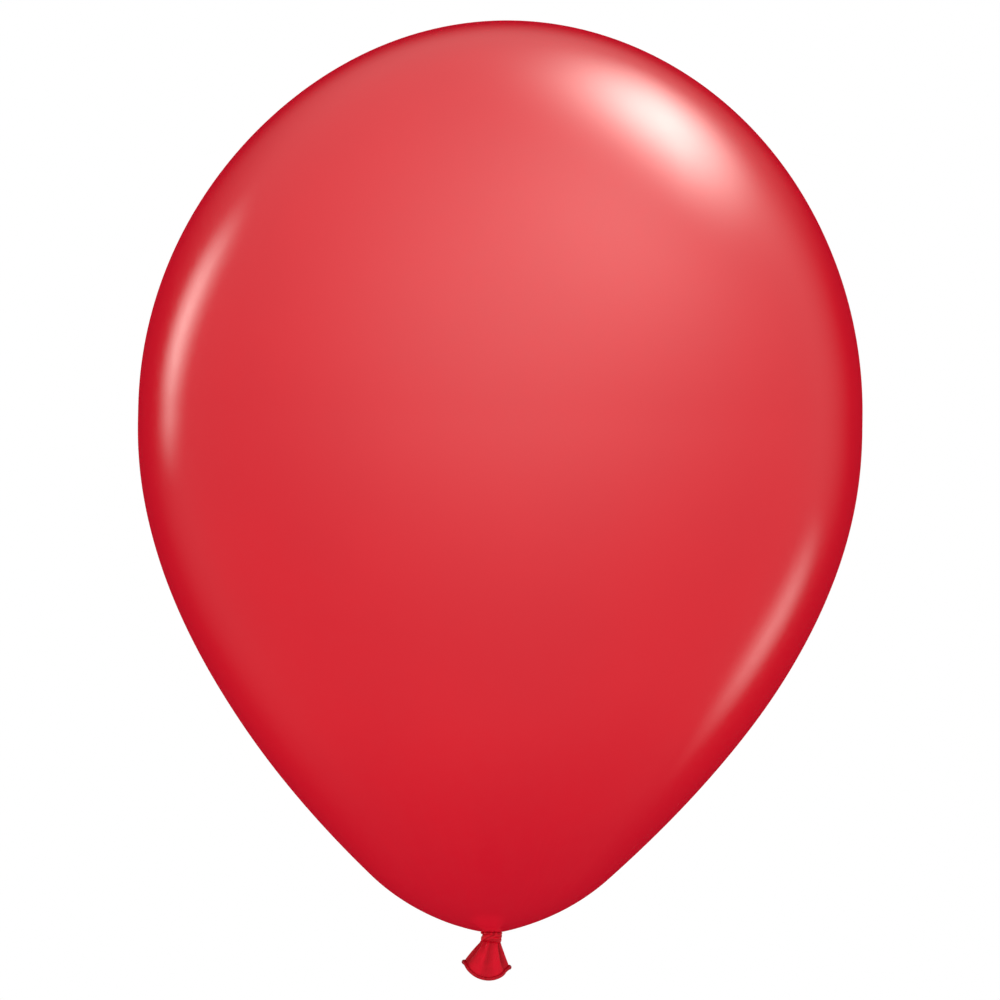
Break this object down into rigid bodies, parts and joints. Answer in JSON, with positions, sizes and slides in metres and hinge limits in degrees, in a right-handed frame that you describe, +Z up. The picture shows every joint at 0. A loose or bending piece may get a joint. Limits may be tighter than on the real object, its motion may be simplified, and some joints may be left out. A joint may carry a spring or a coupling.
{
  "type": "latex balloon",
  "caption": "Round red latex party balloon, blown up and tied in an overhand knot, with its fanned tail and rolled lip hanging below.",
  "frame": {"origin": "tie point: the middle of the narrow throat between the inflated body and the knot, on the balloon's axis", "axes": "+Z up the axis from the tie point to the crown, +X to the right along the wide way of the flattened tail, +Y to the back"},
  "size_m": [0.28, 0.28, 0.3704],
  "materials": {
    "stretched_latex": "glossy",
    "gathered_latex": "satin",
    "relaxed_latex": "satin",
    "rolled_latex": "satin"
  },
  "bodies": {
    "balloon": {"envelope": "stretched_latex", "neck": "gathered_latex"},
    "knot": {"knot": "gathered_latex"},
    "tail": {"tail": "relaxed_latex", "lip_bead": "rolled_latex"}
  },
  "joints": [
    {"name": "knot_twist", "type": "hinge", "parent": "balloon", "child": "knot", "pos_m": [0, 0, 0], "axis": [0, 0, 1], "range_deg": [-90, 90], "stiffness_Nm_per_rad": 0.000002},
    {"name": "tail_flap", "type": "hinge", "parent": "knot", "child": "tail", "pos_m": [0, 0, -0.0021], "axis": [1, 0, 0], "range_deg": [-50, 50], "stiffness_Nm_per_rad": 0.000002}
  ]
}
